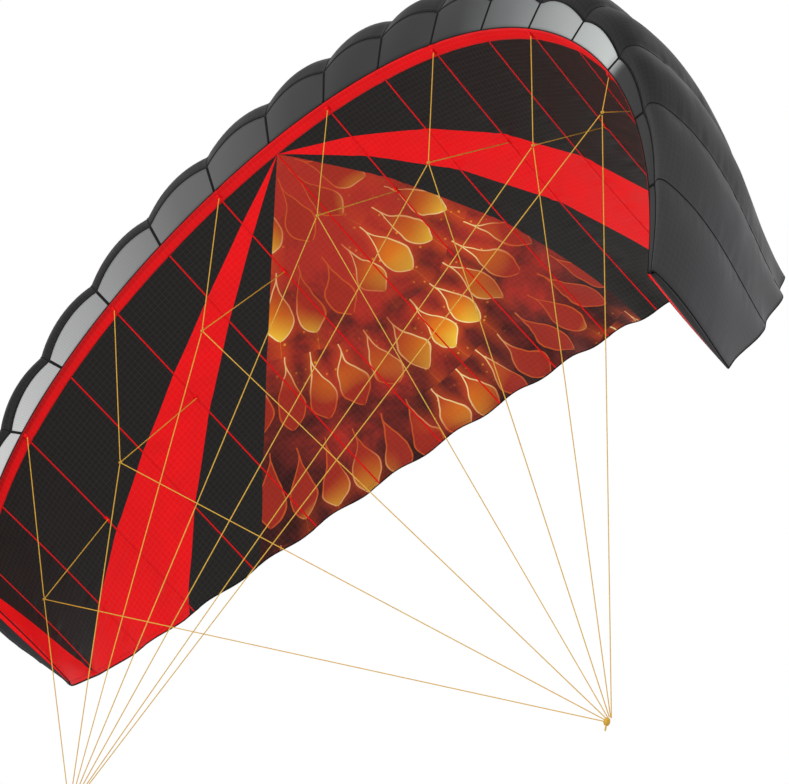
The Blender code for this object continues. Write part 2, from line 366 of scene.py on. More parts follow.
# %% The lower skin's cloth
APEX = -1 / HALF           # the rays start on this rib, at the front band's rear edge
COLUMNS, ROWS = CELLS * 14, 120
v_line = np.linspace(-1, 1, COLUMNS + 1)
share_line = np.linspace(0, 1, ROWS + 1)
v_grid, share_grid = np.meshgrid(v_line, share_line)


def sweep(v):
    """The front edge of the flat cut, without the yaw of flight."""
    return SWEEP[0] * v ** 2 + SWEEP[1] * v ** 4


def flat_chart(v, share):
    """Where a point lies on the flat cut, in metres from the rays' apex."""
    return np.stack([(v - APEX) * SPAN / 2,
                     sweep(v) - sweep(APEX) + share * chord(v) - BAND], -1)


lower_points, lower_chart = lower_face(v_grid, share_grid), flat_chart(v_grid, share_grid)


# %% [markdown]
# ## Ripstop
#
# Ripstop is a thin, tight nylon with a heavier thread every few millimetres both ways,
# which stops a tear. The grid shows as faint squares, a touch lighter than the cloth
# between them, and the polyurethane coating gives a soft satin gloss, uneven where the
# cloth has been folded and packed. A UV chart in metres keeps the squares true to size.

# %% Woven ripstop
SQUARE = 0.0055            # between the heavy threads; a real grid is 4 to 6 mm
THREAD = 0.10              # half their width in squares; about 1 mm wide, so that it shows
GLOSS = 0.10               # of the coating; it is matt from the side that faces the wind


def ripstop(name, colour, roughness=0.46, pale=0.010, charted=True):
    """Ripstop. colour is a hex, or a function that makes a colour socket from the chart."""
    made, tree, shader = blank(name, roughness, GLOSS)
    chart = (add(tree, "UVMap", uv_map="flat").outputs[0] if charted
             else add(tree, "TexCoord").outputs["Object"])
    squares = add(tree, "VectorMath", {0: chart, 1: (1 / SQUARE,) * 3}, operation="MULTIPLY")
    inside = add(tree, "VectorMath", {0: squares}, operation="FRACTION")
    off = add(tree, "VectorMath", {0: inside, 1: (0.5, 0.5, 0.5)}, operation="SUBTRACT")
    away = add(tree, "VectorMath", {0: off}, operation="ABSOLUTE")
    axes = add(tree, "SeparateXYZ", {0: away})
    most = add(tree, "Math", {0: axes.outputs[0 if charted else 2], 1: axes.outputs[1]},
               operation="MAXIMUM")
    thread = add(tree, "MapRange", {0: most, 1: 0.5 - THREAD, 2: 0.5 - THREAD / 3})
    base = dye(colour) if isinstance(colour, str) else colour(tree, chart)
    share = add(tree, "Math", {0: thread, 1: pale}, operation="MULTIPLY")
    tinted = add(tree, "Mix", {0: share, 6: base, 7: (1, 1, 1, 1)}, data_type="RGBA")
    packed = add(tree, "TexNoise", {"Vector": chart, "Scale": 14, "Detail": 3, "Distortion": 1.5})
    worn = add(tree, "MapRange", {0: packed.outputs["Fac"], 1: 0.3, 2: 0.7, 3: 0.93, 4: 1.05})
    shade = add(tree, "Mix", {0: 1.0, 6: tinted.outputs[2], 7: worn},
                data_type="RGBA", blend_type="MULTIPLY")
    tree.links.new(shade.outputs[2], shader.inputs["Base Color"])
    rough = add(tree, "MapRange", {0: packed.outputs["Fac"], 1: 0.3, 2: 0.7, 3: roughness - 0.06,
                                   4: roughness + 0.10})
    tree.links.new(rough.outputs[0], shader.inputs["Roughness"])
    weave = add(tree, "TexNoise", {"Vector": chart, "Scale": 900, "Detail": 2})
    height = add(tree, "Math", {0: weave.outputs["Fac"], 1: 0.35, 2: thread}, operation="MULTIPLY_ADD")
    relief = add(tree, "Bump", {"Height": height, "Distance": 0.00008, "Strength": 0.5})
    tree.links.new(relief.outputs[0], shader.inputs["Normal"])
    return made


RED, BLACK = "#EE0810", "#1E1D1C"      # of the dyed cloth
red_ripstop = ripstop("red_ripstop", RED)
rib_ripstop = ripstop("black_rib_ripstop", BLACK, charted=False)
print("ripstop squares, mm:", SQUARE * 1000)

# %% [markdown]
# ## The cover's rays
#
# The cover is black, with two red rays and one printed wedge between them, all starting
# from one point on the front edge. Each edge is an angle about that point, which bends a
# little with distance, so six rows of a table and one loop draw them all. The print
# itself is a plain pattern of petals in fire colours on a mottled dark ground.

# %% The edges of the rays
RING, PETAL = 0.098, 0.037     # between rings of petals, and the petals' width
GROUND = ((0.34, "#35110F"), (0.5, "#6A1F19"), (0.66, "#AE2C20"))   # dark to light mottle
FIRE = ((0.15, "#C2401A"), (0.55, "#F28C12"), (0.95, "#FFD840"))    # root to tip of a petal
EMBER, EMBER_EDGE = "#A32A1A", "#C4511F"   # a petal and its outline where the print is faint
GLOW, SPARK, CREAM = "#DB4E18", "#F5A02A", "#FFE9A0"
PANEL, PANEL_FLARE = 0.020, 0.25   # the red tip panels' width, and how it grows aft
RAYS = (  # edge, degrees from straight aft, bend in degrees for each square metre
    ("left ray, outer", -66.7, -8),
    ("left ray, inner", -57.0, 12),
    ("print, left", -43.2, 0),
    ("print, right", 41.5, -67),
    ("right ray, inner", 52.5, -45),
    ("right ray, outer", 67.5, -42),
)


def cover(tree, chart):
    """The lower skin's colours: black, the red rays and the printed wedge."""
    axes = add(tree, "SeparateXYZ", {0: chart})
    angle = add(tree, "Math", {0: axes.outputs[0], 1: axes.outputs[1]}, operation="ARCTAN2")
    away = add(tree, "VectorMath", {0: chart}, operation="LENGTH").outputs["Value"]
    square = add(tree, "Math", {0: away, 1: 2}, operation="POWER")
    past = []
    for _, degrees, bend in RAYS:
        edge = add(tree, "Math", {0: square, 1: math.radians(bend),
                                  2: math.radians(degrees)}, operation="MULTIPLY_ADD")
        turn = add(tree, "Math", {0: angle, 1: edge}, operation="SUBTRACT")
        distance = add(tree, "Math", {0: turn, 1: away}, operation="MULTIPLY")
        past.append(add(tree, "MapRange", {0: distance, 1: -0.0002, 2: 0.0002}))
    between = [add(tree, "Math", {0: past[i], 1: past[i + 1]}, operation="SUBTRACT")
               for i in (0, 2, 4)]
    colour = printed(tree, chart, away)
    black = add(tree, "Mix", {0: between[1], 6: dye(BLACK), 7: colour}, data_type="RGBA")
    rays = add(tree, "Math", {0: between[0], 1: between[2]}, operation="MAXIMUM")
    out = add(tree, "Math", {0: axes.outputs[0], 1: APEX * SPAN / 2}, operation="ADD")
    out = add(tree, "Math", {0: out}, operation="ABSOLUTE")
    panel = add(tree, "Math", {0: axes.outputs[1], 1: PANEL_FLARE, 2: out}, operation="MULTIPLY_ADD")
    inner = SPAN / 2 - PANEL
    tip = add(tree, "MapRange", {0: panel, 1: inner - 0.0002, 2: inner + 0.0002})
    red = add(tree, "Math", {0: rays, 1: tip}, operation="MAXIMUM")
    return add(tree, "Mix", {0: red, 6: black.outputs[2], 7: dye(RED)}, data_type="RGBA").outputs[2]


def petals(tree, chart):
    """Rings of petals about the apex: how far past a petal's outline, how far along it."""
    drift = add(tree, "TexNoise", {"Vector": chart, "Scale": 16, "Detail": 2})
    bent = add(tree, "VectorMath", {0: drift.outputs["Color"], 1: (0.022,) * 3, 2: chart},
               operation="MULTIPLY_ADD")
    axes = add(tree, "SeparateXYZ", {0: bent})
    angle = add(tree, "Math", {0: axes.outputs[0], 1: axes.outputs[1]}, operation="ARCTAN2")
    away = add(tree, "VectorMath", {0: bent}, operation="LENGTH").outputs["Value"]
    rings = add(tree, "Math", {0: away, 1: 1 / RING, 2: -0.35}, operation="MULTIPLY_ADD")
    ring = add(tree, "Math", {0: rings}, operation="FLOOR")
    out = add(tree, "Math", {0: rings}, operation="FRACT")
    girth = add(tree, "Math", {0: ring, 1: RING / PETAL, 2: 0.85 * RING / PETAL},
                operation="MULTIPLY_ADD")
    turns = add(tree, "Math", {0: angle, 1: girth}, operation="MULTIPLY")
    turns = add(tree, "Math", {0: ring, 1: 0.5, 2: turns}, operation="MULTIPLY_ADD")
    side = turns
    for step in ("FRACT", "SUBTRACT", "ABSOLUTE"):
        side = add(tree, "Math", {0: side, 1: 0.5}, operation=step)
    along = add(tree, "MapRange", {0: out, 1: 0.08, 2: 0.80})
    width = along
    for step, by in (("POWER", 1.5), ("MULTIPLY", math.pi), ("SINE", 0), ("MAXIMUM", -0.3),
                     ("MULTIPLY", 0.42)):
        width = add(tree, "Math", {0: width, 1: by}, operation=step)
    past = add(tree, "Math", {0: side, 1: width}, operation="SUBTRACT")
    past = add(tree, "Math", {0: past, 1: PETAL}, operation="MULTIPLY")
    return past, along


def printed(tree, chart, away):
    """Petals in fire colours, outlined in cream, on a mottled brick and brown ground."""
    clouds = add(tree, "TexNoise", {"Vector": chart, "Scale": 11, "Detail": 7, "Roughness": 0.62,
                                    "Distortion": 0.6})
    aft = add(tree, "MapRange", {0: away, 1: 0.05, 2: 0.38, 3: 0.26, 4: -0.09})
    dark = add(tree, "Math", {0: clouds.outputs["Fac"], 1: aft}, operation="ADD")
    mottle = add(tree, "ValToRGB", {"Fac": dark}, stops=GROUND)
    past, along = petals(tree, chart)
    fire = add(tree, "ValToRGB", {"Fac": along}, stops=FIRE)
    bloom = add(tree, "TexNoise", {"Vector": chart, "Scale": 5.5, "Detail": 1})
    strong = add(tree, "MapRange", {0: bloom.outputs["Fac"], 1: 0.44, 2: 0.60, 3: 0.0, 4: 1.0})
    petal = add(tree, "Mix", {0: strong, 6: dye(EMBER), 7: fire}, data_type="RGBA")
    glow = add(tree, "MapRange", {0: past, 1: 0.0, 2: 0.014, 3: 0.75, 4: 0.0})
    glow = add(tree, "Math", {0: glow, 1: strong}, operation="MULTIPLY")
    lit = add(tree, "Mix", {0: glow, 6: mottle, 7: dye(GLOW)}, data_type="RGBA")
    inked = add(tree, "MapRange", {0: past, 1: -0.0002, 2: 0.0002, 3: 0.9, 4: 0.0})
    body = add(tree, "Mix", {0: inked, 6: lit.outputs[2], 7: petal.outputs[2]}, data_type="RGBA")
    edge = add(tree, "Math", {0: past}, operation="ABSOLUTE")
    line = add(tree, "MapRange", {0: edge, 1: 0.0006, 2: 0.0011, 3: 1.0, 4: 0.0})
    drawn = add(tree, "MapRange", {0: along, 1: 0.97, 2: 0.99, 3: 1.0, 4: 0.0})
    line = add(tree, "Math", {0: line, 1: drawn}, operation="MULTIPLY")
    cells = add(tree, "TexVoronoi", {"Vector": chart, "Scale": 95, "Randomness": 1.0})
    dots = add(tree, "MapRange", {0: cells.outputs["Distance"], 1: 0.10, 2: 0.17, 3: 1.0, 4: 0.0})
    near = add(tree, "MapRange", {0: past, 1: 0.003, 2: 0.016, 3: 1.0, 4: 0.0})
    bare = add(tree, "Math", {0: inked, 1: -1, 2: 1}, operation="MULTIPLY_ADD")
    sparks = dots
    for share in (near, strong, bare):
        sparks = add(tree, "Math", {0: sparks, 1: share}, operation="MULTIPLY")
    body = add(tree, "Mix", {0: sparks, 6: body.outputs[2], 7: dye(SPARK)}, data_type="RGBA")
    cream = add(tree, "Mix", {0: strong, 6: dye(EMBER_EDGE), 7: dye(CREAM)}, data_type="RGBA")
    return add(tree, "Mix", {0: line, 6: body.outputs[2], 7: cream.outputs[2]},
               data_type="RGBA").outputs[2]


cover_ripstop = ripstop("printed_black_and_red_ripstop", cover)
print("cover edges:", len(RAYS))

# %% Lay the lower cloth
lower = lay("lower_cloth", lower_points[:, ::-1], {"flat": lower_chart[:, ::-1]},
            cover_ripstop, "black_cloth", "lower_skin")
print("lower cloth laid")


# %% [markdown]
# ## The upper skin
#
# The upper skin is the fuller one: pressure balloons every cell into a soft roll between
# two ribs, so the outside reads as eighteen lengthwise pillows. The wing's section is a
# table of twelve points. A smooth curve is run through them, and each cell is pushed out
# along the section's own normal, most in its middle and not at all on its seams.

# %% The section and the upper skin's face
SECTION = np.array([  # along, height, in shares of the chord
    (-0.026, 0.087), (-0.025, 0.112), (-0.018, 0.148), (0.010, 0.178),
    (0.090, 0.206), (0.210, 0.221), (0.350, 0.210), (0.500, 0.174),
    (0.650, 0.123), (0.800, 0.067), (0.920, 0.024), (1.000, 0.000),
])
LAST = len(SECTION) - 1
LIP_DRAWN, LIP_FROM = np.array([0.016, -0.019]), 0.667   # the lip is drawn in at the ends
HEM = 0.0011               # between the skins' outer faces where they are sewn together


def section(v, t):
    """The smooth section at t, from 0 at the lip to LAST at the trailing edge."""
    t = np.clip(t, 0, LAST)
    low = np.minimum(t.astype(int), LAST - 1)
    s = (t - low)[..., None]
    drawn = np.minimum(1.3, (np.abs(v) / LIP_FROM) ** 3)[..., None] * LIP_DRAWN
    rows = [np.clip(low + k, 0, LAST) for k in (-1, 0, 1, 2)]
    a, b, c, d = (SECTION[row] + (row == 0)[..., None] * drawn for row in rows)
    return 0.5 * (2 * b + (c - a) * s + (2 * a - 5 * b + 4 * c - d) * s ** 2
                  + (3 * b - a - 3 * c + d) * s ** 3)


def upper_face(v, t, lift=0.0):
    """The upper skin's outer face; lift is away from the wing."""
    v, t = np.broadcast_arrays(np.asarray(v, float), np.asarray(t, float))
    size = np.stack([chord(v), chord(v) * depth(v)], -1)
    here = section(v, t) * size
    step = (section(v, t + 0.05) - section(v, t - 0.05)) * size
    run, rise = np.moveaxis(unit(step), -1, 0)
    ahead, out = -rise, np.maximum(run, 0.7)
    ahead = np.copysign(np.sqrt(np.clip(1 - out ** 2, 0, 1)), ahead)
    share = np.clip(here[..., 0] / chord(v), 0, 1)
    puff = PUFF_UPPER * fullness(v) * np.minimum(1, 2.2 * (1 - share))
    puff = puff + lift + puckers(v, share * chord(v), 0.0004)
    return wing(v, here[..., 0] + ahead * puff,
                here[..., 1] + HEM + out * puff + flutter(v, share))


print("section height", SECTION[:, 1].max() * CHORD, "m in the middle")

# %% The upper skin's cloth
UPPER_ROWS = 110
fine_t = np.linspace(0, LAST, 600)
fine = section(0 * fine_t, fine_t)
walked = pace(fine)
run_line = np.linspace(0, walked[-1], UPPER_ROWS + 1)
t_line = np.interp(run_line, walked, fine_t)
v_upper, t_upper = np.meshgrid(v_line, t_line)
run_line = run_line[:, None]
upper_chart = np.stack([v_upper * SPAN / 2, sweep(v_upper) + run_line * chord(v_upper)], -1)
upper_points = upper_face(v_upper, t_upper)


HIGHEST = 5.0              # the section's crown is the sixth point of its table
crest = upper_face(v_line, HIGHEST)


# Painted light and shade on the dark grey cloth: darker at the nose, lighter aft and far out
PAINTED_GREYS = {                  # in the middle of the wing and far out on it, from the nose aft
    "middle": ((0.05, "#1B1A1B"), (0.25, "#212121"), (0.55, "#2D2D2F"), (1.0, "#3A3A3C")),
    "far out": ((0.05, "#363637"), (0.25, "#3B3B3C"), (0.55, "#464649"), (1.0, "#535355")),
}


def grey_with_painted_light(tree, chart):
    """Painted shade nearly black at the nose, and painted light aft and outwards, where the cloth is
    sunlit.
    """
    place = add(tree, "UVMap", uv_map="place").outputs[0]
    axes = add(tree, "SeparateXYZ", {0: place})
    fades = [add(tree, "ValToRGB", {"Fac": axes.outputs[1]}, stops=s) for s in PAINTED_GREYS.values()]
    out = add(tree, "Math", {0: axes.outputs[0], 1: 0.5}, operation="SUBTRACT")
    out = add(tree, "Math", {0: out}, operation="ABSOLUTE")
    far = add(tree, "MapRange", {0: out, 1: 0.36, 2: 0.44})
    return add(tree, "Mix", {0: far, 6: fades[0], 7: fades[1]}, data_type="RGBA").outputs[2]


grey_ripstop = ripstop("dark_grey_ripstop_painted_light", grey_with_painted_light, pale=0.005)
upper_place = np.stack([(v_upper + 1) / 2, run_line / walked[-1] + 0 * v_upper], -1)
upper = lay("upper_cloth", upper_points, {"flat": upper_chart, "place": upper_place},
            grey_ripstop, "grey_cloth", "upper_skin")
print("upper cloth laid")

# %% [markdown]
# ## Gauze over the air inlets
#
# Air enters each cell through a strip of open net between the lower skin's front edge and
# the upper skin's lip. The net is light towards the two ends, where the bright sky stands
# behind it, and dark in the middle, where the closed wing does, and in the last cells at
# the right, which turn away. This light and shade is painted into the net's colour with a
# colour ramp along the span, and the net's threads are drawn as a fine grid.


# %% The inlet's face
def inlet_face(v, t, lift=0.0):
    """The gauze at v, with t from 0 at the lower skin to 1 at the lip."""
    v, t = np.broadcast_arrays(np.asarray(v, float), np.asarray(t, float))
    low, high = wing(v, -0.0006, 0.0006), upper_face(v, 0.0)
    across = np.stack([np.cos(lean(v)), 0 * v, -np.sin(lean(v))], -1) @ TO_PART.T
    facing = unit(np.cross(across, high - low))
    swell = PUFF_LOWER * 0.5 * fullness(v) * 4 * t * (1 - t) + lift
    return low + (high - low) * t[..., None] + facing * swell[..., None]


v_gauze, t_gauze = np.meshgrid(v_line, np.linspace(0, 1, 9))
gauze_chart = np.stack([v_gauze * SPAN / 2, t_gauze * 0.115 * chord(v_gauze)], -1)
print("inlet height in the middle, mm:",
      round(float(np.linalg.norm(inlet_face(0.0, 1.0) - inlet_face(0.0, 0.0))) * 1000, 1))

# %% Polyester gauze
NET = 0.0024               # the net's pitch; a real one is about 1 mm, too fine to show
# Painted light and shade: light where sky would show through the net, dark where the wing or the
# turned-away cells shade it
NET_LIGHT_AND_SHADE = (  # place along the span, from tip to tip, and the net's shade there
    (-1.0, "#D2D3D3"), (-0.72, "#BDBEBE"), (-0.5, "#989999"), (-0.39, "#7F8080"),
    (-0.28, "#5F605F"), (-0.16, "#4D4D4D"), (-0.06, "#383838"), (0.05, "#2D2D2E"),
    (0.18, "#2B2B2B"), (0.28, "#343434"), (0.39, "#626565"), (0.5, "#8F9291"),
    (0.655, "#B5B9B7"), (0.69, "#2B2B2C"), (1.0, "#2B2B2C"),
)


# The net's painted light and shade, as a colour ramp along the span
def net_painted_light(tree, chart):
    axes = add(tree, "SeparateXYZ", {0: chart})
    place = add(tree, "MapRange", {0: axes.outputs[0], 1: -SPAN / 2, 2: SPAN / 2})
    return add(tree, "ValToRGB", {"Fac": place},
               stops=[((where + 1) / 2, code) for where, code in NET_LIGHT_AND_SHADE])


gauze_net, tree, shader = blank("polyester_gauze_painted_light", 0.6, 0.2)
chart = add(tree, "UVMap", uv_map="flat").outputs[0]
shade = net_painted_light(tree, chart)
threads = add(tree, "VectorMath", {0: chart, 1: (1 / NET,) * 3}, operation="MULTIPLY")
part = add(tree, "VectorMath", {0: threads}, operation="FRACTION")
axes = add(tree, "SeparateXYZ", {0: part})
hole = add(tree, "Math", {0: axes.outputs[0], 1: axes.outputs[1]}, operation="MINIMUM")
mask = add(tree, "MapRange", {0: hole, 1: 0.25, 2: 0.45, 3: 0.0, 4: 0.16})
dark = add(tree, "Mix", {0: mask, 6: shade, 7: (0, 0, 0, 1)}, data_type="RGBA")
tree.links.new(dark.outputs[2], shader.inputs["Base Color"])
net_points = inlet_face(v_gauze, t_gauze)[:, ::-1]
inlet = lay("inlet_net", net_points, {"flat": gauze_chart[:, ::-1]}, gauze_net, "gauze",
            "inlet_gauze", thickness=NET_THICK)

# %% [markdown]
# ## Bands, tapes and hems
#
# A red band is sewn over the front edge and another down each tip. Narrow red tape covers
# the seam over every rib, black tape covers the ribs' front edges in the inlets, and a
# thin black hem runs round every free edge. Bands and tapes are strips: a few columns of
# points across, with a slight crown, and many rows along. Hems are thin round curves.


# %% The front band's red, with painted shade where it rolls over the edge, strongest on the left
def red_with_painted_roll_shade(tree, chart):
    axes = add(tree, "SeparateXYZ", {0: chart})
    # Painted shade: dark red towards the band's front edge, much weaker towards the right
    roll = add(tree, "MapRange", {0: axes.outputs[1], 1: 0.0, 2: 0.0075, 3: 1.0, 4: 0.0})
    turned = add(tree, "MapRange", {0: axes.outputs[0], 1: -0.5, 2: 0.0, 3: 0.9, 4: 0.15})
    shade = add(tree, "Math", {0: roll, 1: turned}, operation="MULTIPLY")
    return add(tree, "Mix", {0: shade, 6: dye("#E3060E"), 7: dye("#6E0508")},
               data_type="RGBA").outputs[2]


band_ripstop = ripstop("red_edge_ripstop_painted_shade", red_with_painted_roll_shade, roughness=0.52)
print("band cloth", band_ripstop.name)

# %% The red bands
TURNED = 0.0008            # of the front band, over the cloth's edge
CROWN = (0.0002, 0.0013)   # how far a band's edges and its middle stand off the cloth


def crown(across, edge, top):
    """Lifts of a strip's columns: edge at both sides, top in the middle."""
    return edge + (top - edge) * np.sin(math.pi * across) ** 0.8


across = np.linspace(0, 1, 7)
band_lift = crown(across, *CROWN)
v_band, w_band = np.meshgrid(v_line, -TURNED + across * (BAND + TURNED))
lifts = band_lift[:, None] + 0 * v_band
band_points = on_lower(v_band, w_band / chord(v_band), lifts)
band_chart = np.stack([v_band * SPAN / 2, w_band], -1)
front_band = lay("front_edge_band", band_points[:, ::-1], {"flat": band_chart[:, ::-1]},
                 band_ripstop, "red_cloth", "front_band")
for side, sign in (("left", -1), ("right", 1)):
    down = np.linspace(BAND / chord(1), 1.0, 60)
    w, s = np.meshgrid(across * BAND * 1.05, down)
    v = sign * (1 - w / HALF_SPAN)
    points = on_lower(v, s, band_lift + 0 * w)
    order = slice(None, None, sign)
    chart_points = np.stack([w, s * chord(1)], -1)
    lay(f"tip_edge_band_{side}", points[:, order], {"flat": chart_points[:, order]},
        red_ripstop, "red_cloth", f"tip_band_{side}")
print("bands", BAND * 1000, "mm wide")

# %% [markdown]
# The seams and hems are bound with grosgrain tape, which is duller than the coated cloth:
# a ribbed polyester weave with next to no gloss. Its ribs are a quarter of a millimetre
# apart, too fine to show, so a noise a few times coarser stands for them.

# %% Materials of yarn, and grosgrain tape in red and black
def yarn(name, roughness, gloss, scale, shades, relief, sheen=0.0):
    """A material of fine yarn: two close shades in a noise, which also lifts the surface."""
    made, tree, shader = blank(name, roughness, gloss)
    shader.inputs["Sheen Weight"].default_value = sheen
    spot = add(tree, "TexCoord").outputs["Object"]
    strands = add(tree, "TexNoise", {"Vector": spot, "Scale": scale, "Detail": 1}).outputs["Fac"]
    tint = add(tree, "ValToRGB", {"Fac": strands}, stops=shades)
    tree.links.new(tint.outputs[0], shader.inputs["Base Color"])
    bump = add(tree, "Bump", {"Height": strands, "Distance": relief[0], "Strength": relief[1]})
    tree.links.new(bump.outputs[0], shader.inputs["Normal"])
    return made


binding, red_tape = (
    yarn(name, 0.85, 0.08, 700, ((0.3, dark), (0.7, light)), (0.0001, 0.5), sheen=0.04)
    for name, dark, light in (("black_grosgrain_tape", "#0B0B0B", "#161515"),
                              ("red_grosgrain_tape", "#D80B12", "#F20E15")))
print("tapes", binding.name, red_tape.name)

# %% Tape over the lower skin's seams
TAPE, INLET_TAPE, SEAM_CORD = 0.0016, 0.0026, 0.0013      # widths
side_steps = np.array([-0.5, -0.3, 0.3, 0.5])
raised = np.array([0.0, 1.0, 1.0, 0.0])      # of a strip's four columns


def sew_strips(name, strips, cloth, slot):
    """Sew many strips on as one piece; each is a grid of points and its chart."""
    vertices, faces, corners = [], [], []
    for points, chart in strips:
        mesh = grid_mesh(name, points, {"flat": chart})
        start = len(vertices)
        vertices += [v.co[:] for v in mesh.vertices]
        faces += [[start + i for i in p.vertices] for p in mesh.polygons]
        corners += [c.uv[:] for c in mesh.uv_layers["flat"].data]
        bpy.data.meshes.remove(mesh)
    whole = bpy.data.meshes.new(name)
    whole.from_pydata(vertices, [], faces)
    whole.uv_layers.new(name="flat").data.foreach_set("uv", np.ravel(corners))
    whole.shade_smooth()
    thicken(sew(name, whole, cloth, slot), TAPE_THICK)
    print(name, len(strips))


strips = []
for rib in range(1 - HALF, HALF):
    v0 = rib / HALF
    w, s = np.meshgrid(side_steps * TAPE, np.linspace(BAND / chord(v0), 0.998, 90))
    strips.append((on_lower(v0 + w / HALF_SPAN, s, raised * 0.00035 + 0 * w)[:, ::-1],
                   np.stack([w, s * chord(v0)], -1)[:, ::-1]))
sew_strips("lower_seam_tapes", strips, red_tape, "red_cloth")

# %% Black tape on the ribs' front edges
strips = []
for rib in range(-HALF, HALF + 1):
    w, t = np.meshgrid(side_steps * INLET_TAPE, np.linspace(0.0, 1.0, 12))
    v = np.clip(rib / HALF + w / HALF_SPAN, -1, 1)
    strips.append((inlet_face(v, t, 0.0001 + raised * 0.0005 + 0 * w)[:, ::-1],
                   np.stack([w, t * 0.03], -1)[:, ::-1]))
sew_strips("inlet_rib_tapes", strips, binding, "black_cloth")

# %% Cloth over the two ends: the red band folds round the edge, the grey cloth meets it
FOLD = 0.33                # share of an end's height that the red fold covers
run_t = np.interp(np.linspace(0.0, 1.0, 40), fine[:, 0], fine_t)
for side, sign in (("left", -1.0), ("right", 1.0)):
    outward = sign * (np.array([math.cos(lean(sign)), 0, -math.sin(lean(sign))]) @ TO_PART.T)
    for name, cloth, slot, low_a, high_a in (("tip_fold", red_ripstop, "red_cloth", 0.0, FOLD),
                                             ("end_cloth", grey_ripstop, "grey_cloth", FOLD, 1.0)):
        s, a = np.meshgrid(np.linspace(0.0, 1.0, 40), np.linspace(low_a, high_a, 5))
        low, high = lower_face(sign, s), upper_face(sign, np.broadcast_to(run_t, s.shape))
        bulge = 0.0004 + 0.0022 * np.sin(math.pi * a) * np.sin(math.pi * s) ** 0.5
        points = low + (high - low) * a[..., None] + outward * bulge[..., None]
        order = slice(None, None, int(sign))
        charts = {"flat": np.stack([s * chord(sign), a * 0.03], -1)[:, order],
                  "place": np.stack([a, 0.3 + 0.7 * s], -1)[:, order]}
        end = lay(f"{name}_{side}", points[:, order], charts, cloth, slot)
        print(end.name, len(end.data.polygons))

# %% Hems: rolled edges round the lip, the front, the tips and the trailing edge
def line_curve(name, points, radius, close=False):
    curve = bpy.data.curves.new(name, "CURVE")
    curve.dimensions, curve.bevel_depth, curve.bevel_resolution = "3D", radius, 2
    curve.use_fill_caps = True
    spline = curve.splines.new("POLY")
    spline.points.add(len(points) - 1)
    spline.points.foreach_set("co", np.c_[points, np.ones(len(points))].ravel())
    spline.use_cyclic_u = close
    spline.use_smooth = True
    return curve


edges = {  # where each runs, and its radius
    "lip_hem": (upper_face(v_line, 0.02), 0.0007),
    "front_hem": (inlet_face(v_line, 0.0, 0.0004), 0.0005),
    "trailing_hem": (lower_face(v_line, 1.0, -HEM / 2), 0.0009),
    "tip_hem_left": (lower_face(-1.0, share_line), 0.0007),
    "tip_hem_right": (lower_face(1.0, share_line), 0.0007),
    "upper_tip_hem_left": (upper_face(-1.0, t_line), 0.0006),
    "upper_tip_hem_right": (upper_face(1.0, t_line), 0.0006),
}
for name, (points, radius) in edges.items():
    sew(name, line_curve(name, points, radius), binding, "black_cloth")
print("hems", len(edges))

# %% Seams on the upper skin
strips = []
for rib in range(1 - HALF, HALF):
    w, t = np.meshgrid(side_steps * SEAM_CORD, np.linspace(0.02, LAST - 0.02, 100))
    strips.append((upper_face(rib / HALF + w / HALF_SPAN, t, raised * 0.0004 + 0 * w),
                   np.stack([w, t * 0.04], -1)))
sew_strips("upper_seam_cords", strips, binding, "black_cloth")

# %% [markdown]
# ## Stitching
#
# Every band, tape and hem is held by a lockstitch of bonded polyester thread. A stitch is
# a short spindle of six points, so thousands of them cost little, and they follow the
# cloth because each row asks the cloth's own formula where it is.

# %% Rows of stitches
PITCH, STITCH, THICK = 0.0034, 0.0025, 0.00045     # a real pitch is 2.5 to 3.5 mm


def stitch_mesh(name, rows):
    """One mesh of stitches along rows; a row is its points and the points just above them."""
    vertices, faces = [], []
    for points, above in rows:
        run = pace(points)
        middle = np.arange(PITCH, run[-1] - PITCH / 2, PITCH)
        at = [np.stack([np.interp(middle + d, run, points[:, k]) for k in range(3)], -1)
              for d in (-STITCH / 2, 0, STITCH / 2)]
        out = unit(np.stack([np.interp(middle, run, (above - points)[:, k]) for k in range(3)], -1))
        side = unit(np.cross(at[2] - at[0], out)) * THICK / 2
        ring = [at[1] + side, at[1] + out * THICK * 0.6, at[1] - side, at[1] - out * THICK * 0.3]
        corners = np.stack([at[0], at[2], *ring], 1)
        first = len(vertices) + 6 * np.arange(len(middle))
        vertices += corners.reshape(-1, 3).tolist()
        for i in range(4):
            j = 2 + (i + 1) % 4
            faces += [(int(f), int(f) + 2 + i, int(f) + j) for f in first]
            faces += [(int(f) + 1, int(f) + j, int(f) + 2 + i) for f in first]
    mesh = bpy.data.meshes.new(name)
    mesh.from_pydata(vertices, [], faces)
    mesh.shade_smooth()
    return mesh


def row_on_lower(v, share, lift):
    return on_lower(v, share, lift), on_lower(v, share, lift + 0.001)


print("a stitch every", PITCH * 1000, "mm")

# %% Bonded thread: smooth, with a slight shine along its twist
red_thread, black_thread = (
    yarn(name, 0.42, 0.35, 1100, ((0.35, dark), (0.65, light)), (0.0001, 0.4))
    for name, dark, light in (("red_bonded_thread", "#CE0E15", "#EE161D"),
                              ("black_bonded_thread", "#101010", "#2A2A2B")))
print("threads", red_thread.name, black_thread.name)

